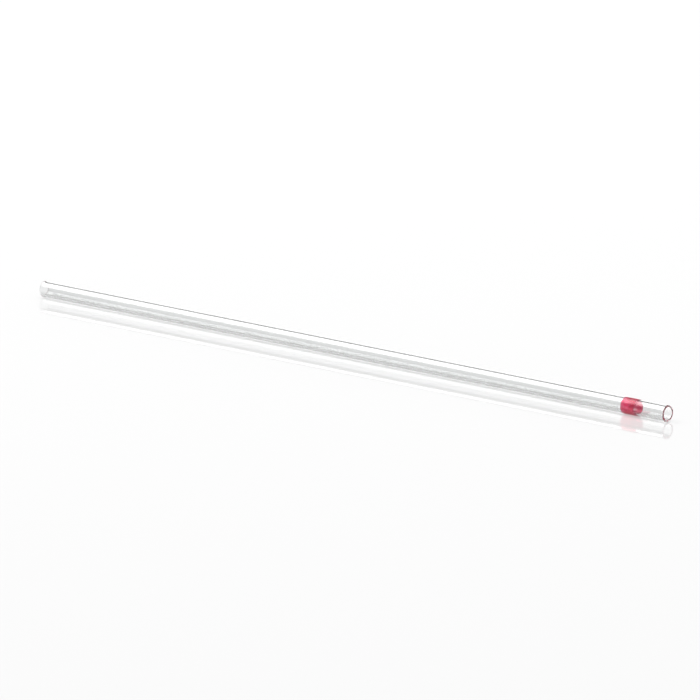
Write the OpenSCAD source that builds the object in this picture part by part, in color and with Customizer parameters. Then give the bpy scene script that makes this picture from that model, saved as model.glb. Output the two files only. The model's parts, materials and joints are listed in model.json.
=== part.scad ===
// Glass capillary tube: one length of drawn glass tubing with flame-polished lips,
// and a fired-on ring of colour near its marked end.
// The tube lies along X with its marked end at +X. The origin is under the middle of
// the tube, on the surface that it rests on.

/* [Tube] */
// Length of the glass from lip to lip
tube_length = 75; // [30:1:150]
// Outside diameter of the glass
outer_d = 1.55; // [1:0.05:3]
// Thickness of the glass wall, which leaves the bore
wall = 0.2; // [0.12:0.01:0.4]
// Radius that the flame leaves on the outer edge of each lip
lip_outer_round = 0.1; // [0.02:0.01:0.2]
// Radius that the flame leaves on the bore edge of each lip
lip_inner_round = 0.07; // [0.02:0.01:0.2]

/* [Colour band] */
// Distance from the marked end to the near edge of the band
band_inset = 3.3; // [1:0.1:12]
// Width of the band along the tube
band_width = 1.7; // [0.5:0.1:5]
// Thickness of the fired colour over the glass
band_thickness = 0.015; // [0.01:0.005:0.05]
// Length over which each edge of the band thins out to the glass
band_feather = 0.06; // [0.02:0.01:0.2]

/* [Hidden] */
$fn = 96;

// Segments in the quarter round of a lip's edge
lip_steps = 8;
// Shares of the wall that the outer and the bore rounding may each take up
outer_share = 0.55;
inner_share = 0.4;

outer_r = outer_d / 2;
bore_r = outer_r - wall;
lip_outer_r = min(lip_outer_round, outer_share * wall);
lip_inner_r = min(lip_inner_round, inner_share * wall);

// The band is the proudest part, so the glass lies its thickness above the surface
axis_height = outer_r + band_thickness;
band_start = tube_length - band_inset - band_width;

// Points of an arc around centre, from angle a0 to angle a1
function arc(centre, radius, a0, a1) = [
    for (i = [0 : lip_steps])
        let (a = a0 + (a1 - a0) * i / lip_steps)
            centre + radius * [cos(a), sin(a)]
];

// Half section of the wall: radius across, distance from the plain lip upwards
wall_section = concat(
    arc([outer_r - lip_outer_r, lip_outer_r], lip_outer_r, 270, 360),
    arc([outer_r - lip_outer_r, tube_length - lip_outer_r], lip_outer_r, 0, 90),
    arc([bore_r + lip_inner_r, tube_length - lip_inner_r], lip_inner_r, 90, 180),
    arc([bore_r + lip_inner_r, lip_inner_r], lip_inner_r, 180, 270)
);

// Half section of the band, on the outside of the glass
band_section = [
    [outer_r, band_start],
    [outer_r + band_thickness, band_start + band_feather],
    [outer_r + band_thickness, band_start + band_width - band_feather],
    [outer_r, band_start + band_width]
];

// Turns a half section into a body of revolution that lies along X, centred on the origin
module lying_along_x(section) {
    translate([-tube_length / 2, 0, axis_height])
        rotate([0, 90, 0])
            rotate_extrude()
                polygon(section);
}

// One piece of drawn glass, open from end to end
module glass_tube() {
    color([0.88, 0.94, 0.95, 0.5]) lying_along_x(wall_section);
}

// Ring of red enamel, fired onto the glass
module colour_band() {
    color("crimson") lying_along_x(band_section);
}

glass_tube();
colour_band();
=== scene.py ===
# Glass capillary tube: the looks of the drawn glass and of its fired colour band,
# with the floor, the lights and the camera. Lengths are in metres.
import json
import math

import bpy
import numpy as np
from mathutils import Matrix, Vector


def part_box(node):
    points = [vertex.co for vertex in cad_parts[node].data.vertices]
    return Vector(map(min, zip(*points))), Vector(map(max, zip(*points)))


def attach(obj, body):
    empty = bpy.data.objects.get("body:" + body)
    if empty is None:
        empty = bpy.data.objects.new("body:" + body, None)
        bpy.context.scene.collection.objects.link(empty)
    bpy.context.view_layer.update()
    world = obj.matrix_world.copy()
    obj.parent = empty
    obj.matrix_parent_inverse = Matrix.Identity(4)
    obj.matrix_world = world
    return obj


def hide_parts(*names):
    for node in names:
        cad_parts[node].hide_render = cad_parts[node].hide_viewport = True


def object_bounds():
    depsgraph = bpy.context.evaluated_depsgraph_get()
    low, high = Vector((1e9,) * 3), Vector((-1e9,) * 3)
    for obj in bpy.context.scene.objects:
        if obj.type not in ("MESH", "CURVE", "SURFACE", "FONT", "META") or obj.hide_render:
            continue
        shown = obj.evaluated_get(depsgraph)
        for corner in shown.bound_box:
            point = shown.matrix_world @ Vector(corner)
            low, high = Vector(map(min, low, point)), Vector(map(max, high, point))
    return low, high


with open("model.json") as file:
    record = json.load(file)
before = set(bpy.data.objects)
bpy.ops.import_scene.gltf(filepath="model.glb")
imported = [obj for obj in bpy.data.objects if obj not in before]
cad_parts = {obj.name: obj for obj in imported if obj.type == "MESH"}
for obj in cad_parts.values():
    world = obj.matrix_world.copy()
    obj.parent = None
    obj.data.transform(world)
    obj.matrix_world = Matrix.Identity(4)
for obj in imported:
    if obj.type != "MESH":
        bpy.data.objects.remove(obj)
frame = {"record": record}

cadLow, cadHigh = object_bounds()
millimetre = 0.001
turn = 2 * math.pi

# what the frame says about the two pieces
tubeLow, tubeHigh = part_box("glass_tube")
bandLow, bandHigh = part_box("colour_band")
mounts = {m["name"]: m for m in frame["record"]["mounts"]}
axisHeight = mounts["bore"]["pos_m"][2]
boreRadius = mounts["bore"]["dims"]["r_mm"] * millimetre
glassRadius = mounts["outer_wall"]["dims"]["r_mm"] * millimetre
bandRadius = axisHeight - cadLow.z
print(f"frame: tube {tubeHigh.x - tubeLow.x:.4f} m long, band from {bandLow.x:.4f} to {bandHigh.x:.4f} m")


def ringSurface(along, out, angle):
    # point (i, j) = (along, out cos angle, axisHeight + out sin angle); i goes round the section and j round
    # the tube, both closed, and each quad (i, j) (i, j+1) (i+1, j+1) (i+1, j) faces outwards
    along, out, angle = np.broadcast_arrays(along, out, angle)
    rows, columns = out.shape
    points = np.stack([along, out * np.cos(angle), axisHeight + out * np.sin(angle)], -1).reshape(-1, 3)
    i = np.arange(rows)[:, None]
    j = np.arange(columns)[None, :]
    nextI = (i + 1) % rows
    nextJ = (j + 1) % columns
    corners = [i * columns + j, i * columns + nextJ, nextI * columns + nextJ, nextI * columns + j]
    return points, np.stack(corners, -1).reshape(-1, 4)


def meshPiece(name, points, faces):
    # fills a mesh from whole arrays: points (n, 3) and quads (m, 4)
    mesh = bpy.data.meshes.new(name)
    mesh.vertices.add(len(points))
    mesh.vertices.foreach_set("co", points.astype(np.float32).ravel())
    mesh.loops.add(faces.size)
    mesh.loops.foreach_set("vertex_index", faces.astype(np.int32).ravel())
    mesh.polygons.add(len(faces))
    mesh.polygons.foreach_set("loop_start", np.arange(0, faces.size, faces.shape[1], dtype=np.int32))
    mesh.update(calc_edges=True)
    mesh.polygons.foreach_set("use_smooth", np.ones(len(faces), bool))
    mesh.validate()
    piece = bpy.data.objects.new(name, mesh)
    bpy.context.scene.collection.objects.link(piece)
    return piece


def ripple(angle, along, seed, waves, turnsRound, turnsAlong):
    # sum over k of cos(m_k angle + 2 pi n_k along + phase_k) / waves; m_k is whole, drawn from turnsRound,
    # so that the wave closes round the tube, and n_k is drawn from turnsAlong, with either sign
    draw = np.random.default_rng(seed)
    total = 0
    for _ in range(waves):
        m = draw.integers(turnsRound[0], turnsRound[1] + 1)
        n = draw.uniform(*turnsAlong) * draw.choice([-1, 1])
        total = total + np.cos(m * angle + turn * n * along + draw.uniform(0, turn))
    return total / waves


def quarterArc(centreAlong, centreOut, radius, start, end, steps):
    # (along, out) = centre + radius (cos t, sin t), t from start to end degrees
    t = np.radians(np.linspace(start, end, steps))
    return np.stack([centreAlong + radius * np.cos(t), centreOut + radius * np.sin(t)], -1)


def crowdedLine(start, end, steps):
    # between start and end, crowded towards both: s = crowding (1 - cos(pi u)) / 2 + (1 - crowding) u
    crowding = 0.75
    u = np.linspace(0, 1, steps)[1:-1]
    s = crowding * (1 - np.cos(np.pi * u)) / 2 + (1 - crowding) * u
    return start + (end - start) * s


def newGroup(name, inputs, outputs):
    # an empty shader group with float or vector inputs {name: default} and outputs {name: socket type}
    group = bpy.data.node_groups.new(name, "ShaderNodeTree")
    for socketName, value in inputs.items():
        kind = "NodeSocketVector" if isinstance(value, tuple) else "NodeSocketFloat"
        socket = group.interface.new_socket(socketName, in_out="INPUT", socket_type=kind)
        socket.default_value = value
    for socketName, kind in outputs.items():
        group.interface.new_socket(socketName, in_out="OUTPUT", socket_type=kind)
    return group, group.nodes.new("NodeGroupInput"), group.nodes.new("NodeGroupOutput")


def addNode(tree, kind, **settings):
    # a new node; settings are its properties, or the default values of its inputs
    node = tree.nodes.new(kind)
    for key, value in settings.items():
        if key in node.inputs:
            node.inputs[key].default_value = value
        else:
            setattr(node, key, value)
    return node


def patchGroup():
    # mask = (noise(position x stretch) - low) / (high - low), held between 0 and 1
    noiseRoughness = 0.55
    inputs = {"Stretch": (1.0, 1.0, 1.0), "Detail": 2.0, "Low": 0.4, "High": 0.6}
    group, given, result = newGroup("patches", inputs, {"Mask": "NodeSocketFloat"})
    place = addNode(group, "ShaderNodeTexCoord")
    stretch = addNode(group, "ShaderNodeVectorMath", operation="MULTIPLY")
    noise = addNode(group, "ShaderNodeTexNoise", Scale=1.0, Roughness=noiseRoughness)
    limits = addNode(group, "ShaderNodeMapRange")
    link = group.links.new
    link(place.outputs["Object"], stretch.inputs[0])
    link(given.outputs["Stretch"], stretch.inputs[1])
    link(stretch.outputs["Vector"], noise.inputs["Vector"])
    link(given.outputs["Detail"], noise.inputs["Detail"])
    link(noise.outputs["Fac"], limits.inputs["Value"])
    link(given.outputs["Low"], limits.inputs["From Min"])
    link(given.outputs["High"], limits.inputs["From Max"])
    link(limits.outputs["Result"], result.inputs["Mask"])
    return group


def patches(tree, stretch, detail, low, high):
    # one use of the shared patches, with its own size and contrast
    return addNode(tree, "ShaderNodeGroup", node_tree=patchMask,
                   Stretch=stretch, Detail=detail, Low=low, High=high).outputs["Mask"]


def mixedColour(tree, factor, first, second):
    # first where factor is 0, second where it is 1; in a Mix of colours they are inputs 6 and 7, and the
    # result is output 2
    mix = addNode(tree, "ShaderNodeMix", data_type="RGBA")
    tree.links.new(factor, mix.inputs["Factor"])
    mix.inputs[6].default_value = first
    mix.inputs[7].default_value = second
    return mix.outputs[2]


def ranged(tree, value, fromMin, fromMax, toMin, toMax):
    # toMin + (value - fromMin) / (fromMax - fromMin) x (toMax - toMin), held inside
    limits = addNode(tree, "ShaderNodeMapRange")
    for name, number in zip(("From Min", "From Max", "To Min", "To Max"), (fromMin, fromMax, toMin, toMax)):
        limits.inputs[name].default_value = number
    tree.links.new(value, limits.inputs["Value"])
    return limits.outputs["Result"]


def times(tree, first, second):
    # first x second
    product = addNode(tree, "ShaderNodeMath", operation="MULTIPLY")
    tree.links.new(first, product.inputs[0])
    tree.links.new(second, product.inputs[1])
    return product.outputs["Value"]


def bumped(tree, height, depth):
    # a normal that leans with height, of depth metres
    bump = addNode(tree, "ShaderNodeBump", Distance=depth)
    tree.links.new(height, bump.inputs["Height"])
    return bump.outputs["Normal"]


patchMask = patchGroup()


glassDetail = {
    "around": 144,                      # points round the tube
    "along": 110,                       # points from one lip to the other
    "lipSteps": 9,                      # points in each quarter of a lip
    "outerLip": 0.1 * millimetre,       # radius that the flame leaves on a lip's outer edge
    "innerLip": 0.07 * millimetre,      # and on its bore edge
    "swell": 0.001 * millimetre,        # slow change of radius left by drawing
    "endSlant": 0.02 * millimetre,      # unevenness of each flame-polished end
    "slantReach": 0.01,                 # last share of the half length, where that unevenness comes in
    "refraction": 1.51,
    "tintLight": (0.907, 0.912, 0.912, 1),
    "tintDeep": (0.887, 0.893, 0.893, 1),
    "tintPatches": {"stretch": (60, 500, 500), "detail": 2, "low": 0.35, "high": 0.65},
    "drawLines": {"stretch": (25, 6000, 6000), "detail": 3, "low": 0.3, "high": 0.7},
    "lineDepth": 0.00002 * millimetre,  # depth of the draw lines
}


def drawnGlassTube():
    # closed section (along, out): outer wall, marked lip, bore wall, plain lip, turned about the axis;
    # radius = out + swell (ripple - 1) / 2, and both ends move in by slant nearEnd (1 + ripple) / 2
    d = glassDetail
    end = tubeHigh.x
    outerArc, innerArc = glassRadius - d["outerLip"], boreRadius + d["innerLip"]
    markedOuter = quarterArc(end - d["outerLip"], outerArc, d["outerLip"], 90, 0, d["lipSteps"])
    markedInner = quarterArc(end - d["innerLip"], innerArc, d["innerLip"], 0, -90, d["lipSteps"])
    mirror = np.array([-1, 1])
    outerLine = crowdedLine(-end + d["outerLip"], end - d["outerLip"], d["along"])
    boreLine = crowdedLine(end - d["innerLip"], -end + d["innerLip"], d["along"])
    section = np.concatenate([
        np.stack([outerLine, np.full_like(outerLine, glassRadius)], -1),
        markedOuter,
        markedInner,
        np.stack([boreLine, np.full_like(boreLine, boreRadius)], -1),
        markedInner[::-1] * mirror,
        markedOuter[::-1] * mirror,
    ])
    along, out = section[:, :1], section[:, 1:]
    angle = np.linspace(0, turn, d["around"], endpoint=False)[None, :]
    share = along / end
    slowWave = ripple(angle, share, seed=3, waves=5, turnsRound=(0, 2), turnsAlong=(0.4, 2.6))
    swell = d["swell"] * (slowWave - 1) / 2
    nearEnd = np.clip((np.abs(share) - (1 - d["slantReach"])) / d["slantReach"], 0, 1) ** 2
    endWave = ripple(angle, np.sign(share), seed=8, waves=3, turnsRound=(1, 3), turnsAlong=(0.2, 0.9))
    slant = d["endSlant"] * nearEnd * (1 + endWave) / 2
    x = along - np.sign(share) * slant
    return meshPiece("drawn_glass_tube", *ringSurface(x, out + swell, angle))


def glassMaterial():
    # clear glass with faint lengthwise draw lines and a slight change of tint
    d = glassDetail
    material = bpy.data.materials.new("clear drawn glass")
    material.use_nodes = True
    tree = material.node_tree
    shader = tree.nodes["Principled BSDF"]
    shader.inputs["Roughness"].default_value = 0.0
    shader.inputs["Metallic"].default_value = 0.0
    shader.inputs["Transmission Weight"].default_value = 1.0
    shader.inputs["IOR"].default_value = d["refraction"]
    tint = mixedColour(tree, patches(tree, **d["tintPatches"]), d["tintLight"], d["tintDeep"])
    tree.links.new(tint, shader.inputs["Base Color"])
    lines = patches(tree, **d["drawLines"])
    tree.links.new(bumped(tree, lines, d["lineDepth"]), shader.inputs["Normal"])
    return material


print("building the glass")
tube = drawnGlassTube()
tube.data.materials.append(glassMaterial())
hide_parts("glass_tube")
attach(tube, "root")


bandDetail = {
    "around": 192,                      # points round the band
    "across": 26,                       # points from one edge to the other
    "sunk": 0.004 * millimetre,         # depth of the band's inner face in the skin of the glass
    "lift": 0.002 * millimetre,         # how far that face rises off the glass where the two don't touch
    "liftContrast": 2.5,                # how sharply those places begin
    "thin": 0.45,                       # least thickness, as a share of the full one
    "crownPower": 6,                    # how late the coat thins out towards its edges
    "edgeWave": 0.10 * millimetre,      # how far an edge wanders along the tube
    "deep": (0.92, 0.03, 0.13, 1),      # colour of a full coat
    "pale": (0.97, 0.22, 0.36, 1),      # colour of a thin one
    "coatRange": (0.1, 0.8),            # shares of the full thickness at which the coat is pale and deep
    "leastBlotch": 0.45,                # deepness left where a blotch is palest
    "clearness": 0.75,                  # share of the light that passes and isn't scattered
    "refraction": 1.5,
    "flecks": {"stretch": (9000, 9000, 9000), "detail": 3, "low": 0.36, "high": 0.62},
    "blotches": {"stretch": (2600, 2600, 2600), "detail": 2, "low": 0.38, "high": 0.66},
    "roughness": (0.22, 0.1),           # between the flecks, and on them
    "grain": 0.0015 * millimetre,       # height of the flecks
}


def firedColourBand():
    # u runs from edge to edge, crown = 1 - |2u - 1|^crownPower, and coatThickness = crown coat;
    # outer face: out = glass - sunk + (full + sunk) crown coat, coat = thin + (1 - thin) (1 + ripple) / 2;
    # inner face: out = glass - sunk + (sunk + lift) crown raised, with raised = 1/2 + contrast ripple, held
    # between 0 and 1; along = left edge + (right edge - left edge) u, and both edges wander with angle
    d = bandDetail
    angle = np.linspace(0, turn, d["around"], endpoint=False)[None, :]
    u = ((1 - np.cos(np.linspace(0, np.pi, d["across"]))) / 2)[:, None]
    full = bandRadius - glassRadius
    leftWave = ripple(angle, 0, seed=21, waves=5, turnsRound=(1, 7), turnsAlong=(0, 0))
    rightWave = ripple(angle, 0, seed=22, waves=5, turnsRound=(1, 7), turnsAlong=(0, 0))
    leftEdge = bandLow.x + d["edgeWave"] * (1 + leftWave) / 2
    rightEdge = bandHigh.x - d["edgeWave"] * (1 + rightWave) / 2
    x = leftEdge + (rightEdge - leftEdge) * u
    coatWave = ripple(angle, u, seed=23, waves=8, turnsRound=(1, 9), turnsAlong=(0.3, 1.5))
    coat = d["thin"] + (1 - d["thin"]) * (1 + coatWave) / 2
    crown = 1 - np.abs(2 * u - 1) ** d["crownPower"]
    outer = glassRadius - d["sunk"] + (full + d["sunk"]) * crown * coat
    liftWave = ripple(angle, u, seed=24, waves=8, turnsRound=(2, 12), turnsAlong=(0.2, 1.2))
    raised = np.clip(0.5 + d["liftContrast"] * liftWave, 0, 1)
    inner = glassRadius - d["sunk"] + (d["sunk"] + d["lift"]) * crown * raised
    ringX = np.concatenate([x, x[-2:0:-1]])
    ringOut = np.concatenate([outer, inner[-2:0:-1]])
    piece = meshPiece("fired_colour_band", *ringSurface(ringX, ringOut, angle))
    thickness = crown * coat
    thickness = np.concatenate([thickness, thickness[-2:0:-1]])
    kept = piece.data.attributes.new("coatThickness", "FLOAT", "POINT")
    kept.data.foreach_set("value", thickness.astype(np.float32).ravel())
    return piece


def bandMaterial():
    # a clear colour, deep where the coat is thick and pale where it is thin, with a part of it scattering
    d = bandDetail
    material = bpy.data.materials.new("fired red colour")
    material.use_nodes = True
    tree = material.node_tree
    shader = tree.nodes["Principled BSDF"]
    shader.inputs["Metallic"].default_value = 0.0
    shader.inputs["Transmission Weight"].default_value = d["clearness"]
    shader.inputs["IOR"].default_value = d["refraction"]
    coat = addNode(tree, "ShaderNodeAttribute", attribute_name="coatThickness").outputs["Fac"]
    fleck = patches(tree, **d["flecks"])
    blotch = patches(tree, **d["blotches"])
    thickness = ranged(tree, coat, *d["coatRange"], 0, 1)
    deepness = times(tree, thickness, ranged(tree, blotch, 0, 1, d["leastBlotch"], 1))
    tree.links.new(mixedColour(tree, deepness, d["pale"], d["deep"]), shader.inputs["Base Color"])
    tree.links.new(ranged(tree, fleck, 0, 1, *d["roughness"]), shader.inputs["Roughness"])
    tree.links.new(bumped(tree, fleck, d["grain"]), shader.inputs["Normal"])
    return material


print("building the colour band")
band = firedColourBand()
band.data.materials.append(bandMaterial())
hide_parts("colour_band")
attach(band, "root")


studio = {
    "floorSize": 6.0,
    "floorColour": (0.32, 0.32, 0.32, 1),
    "glowColour": (1, 1, 1, 1),       # light that comes up through the floor
    "floorGlow": 0.46,
    "floorRoughness": 0.05,
    "horizonColour": (1.7, 1.7, 1.7, 1),
    "wallColour": (1.0, 1.0, 1.0, 1),
    "roomColour": (0.2, 0.2, 0.2, 1),
    "horizonFade": (0.10, 0.20),      # sines of the elevations between which the horizon turns into walls
    "wallFade": (0.28, 0.34),         # and the walls into the darker room
    "darkSide": (-0.64, -0.77, 0),    # the walls are dark this way too
    "sideFade": (0.7, 0.9),           # cosines of the angle from that way between which they darken
    "endFade": (0.6, 0.85),           # squares of the direction's X between which the ends of the room dim
    "endLevel": 0.3,                  # share of the walls' light that is left there
    "overheadScrim": {
        "place": (0, 0.075, 1.1),
        "target": (0, 0.075, 0),
        "width": 3.2,
        "height": 1.65,
        "power": 20,
    },
    "leftBox": {
        "place": (-0.97, -0.28, 1.0),
        "target": (-0.97, -0.28, 0),
        "width": 0.75,
        "height": 1.3,
        "power": 8,
    },
    "azimuth": 40.0,                  # degrees; 0 looks along +Y
    "elevation": 13.8,
    "distance": 1.15,
    "frameWidth": 0.0645,             # width of the view at the tube
    "sensorWidth": 36,                # in millimetres, as the lens is
    "clipping": (0.01, 20),
    "bounces": 300,                   # light runs the whole length of the thin wall before a lip shows it
    "clamp": 3.0,                     # most that one light path may add after its first bounce
}


def aimed(thing, place, target):
    # turns thing at place so that its -Z looks at target
    thing.location = place
    thing.rotation_euler = (Vector(target) - Vector(place)).to_track_quat("-Z", "Y").to_euler()
    bpy.context.scene.collection.objects.link(thing)
    return thing


def floorPiece():
    # a square sheet at the lowest point of the object, glossy enough to mirror it a little
    half = studio["floorSize"] / 2
    points = np.array([[-half, -half, 0], [half, -half, 0], [half, half, 0], [-half, half, 0]], float)
    points[:, 2] = cadLow.z
    piece = meshPiece("floor", points, np.array([[0, 1, 2, 3]]))
    material = bpy.data.materials.new("pale floor")
    material.use_nodes = True
    shader = material.node_tree.nodes["Principled BSDF"]
    shader.inputs["Base Color"].default_value = studio["floorColour"]
    shader.inputs["Emission Color"].default_value = studio["glowColour"]
    shader.inputs["Emission Strength"].default_value = studio["floorGlow"]
    shader.inputs["Roughness"].default_value = studio["floorRoughness"]
    piece.data.materials.append(material)
    return piece


def softbox(name, place, target, width, height, power):
    # a rectangular light at place, turned to target; power in watts
    light = bpy.data.lights.new(name, "AREA")
    light.shape = "RECTANGLE"
    light.size, light.size_y = width, height
    light.energy = power
    return aimed(bpy.data.objects.new(name, light), place, target)


def studioWorld():
    # white walls, brightest at the horizon, with a darker room above them and to one side, and dimmer ends;
    # colour = room + (walls - room) x low x lit x ends, each of them a mask of the direction looked in
    world = bpy.data.worlds.new("studio")
    world.use_nodes = True
    tree = world.node_tree
    direction = addNode(tree, "ShaderNodeTexCoord").outputs["Generated"]
    split = addNode(tree, "ShaderNodeSeparateXYZ")
    tree.links.new(direction, split.inputs["Vector"])
    walls = mixedColour(tree, ranged(tree, split.outputs["Z"], *studio["horizonFade"], 0, 1),
                        studio["horizonColour"], studio["wallColour"])
    low = ranged(tree, split.outputs["Z"], *studio["wallFade"], 1, 0)
    side = addNode(tree, "ShaderNodeVectorMath", operation="DOT_PRODUCT")
    side.inputs[1].default_value = studio["darkSide"]
    tree.links.new(direction, side.inputs[0])
    lit = ranged(tree, side.outputs["Value"], *studio["sideFade"], 1, 0)
    lengthwise = times(tree, split.outputs["X"], split.outputs["X"])
    ends = ranged(tree, lengthwise, *studio["endFade"], 1, studio["endLevel"])
    room = addNode(tree, "ShaderNodeMix", data_type="RGBA")
    room.inputs[6].default_value = studio["roomColour"]
    tree.links.new(times(tree, times(tree, low, lit), ends), room.inputs["Factor"])
    tree.links.new(walls, room.inputs[7])
    tree.links.new(room.outputs[2], tree.nodes["Background"].inputs["Color"])
    return world


print("setting the floor, light and camera")
floorPiece()
bpy.context.scene.world = studioWorld()
middle = (cadLow + cadHigh) / 2
softbox("overhead scrim", **studio["overheadScrim"])
softbox("left box", **studio["leftBox"])

camera = bpy.data.cameras.new("camera")
camera.sensor_width = studio["sensorWidth"]
camera.lens = camera.sensor_width * studio["distance"] / studio["frameWidth"]
camera.clip_start, camera.clip_end = studio["clipping"]
azimuth, elevation = math.radians(studio["azimuth"]), math.radians(studio["elevation"])
# from the tube back to the camera: (sin azimuth cos elevation, -cos azimuth cos elevation, sin elevation)
level = math.cos(elevation)
back = Vector((math.sin(azimuth) * level, -math.cos(azimuth) * level, math.sin(elevation)))
cameraObject = bpy.data.objects.new("camera", camera)
bpy.context.scene.camera = aimed(cameraObject, middle + studio["distance"] * back, middle)
bpy.context.scene.view_settings.view_transform = "Standard"
cycles = bpy.context.scene.cycles
cycles.max_bounces = studio["bounces"]
cycles.transmission_bounces = studio["bounces"]
cycles.glossy_bounces = studio["bounces"]
cycles.sample_clamp_indirect = studio["clamp"]
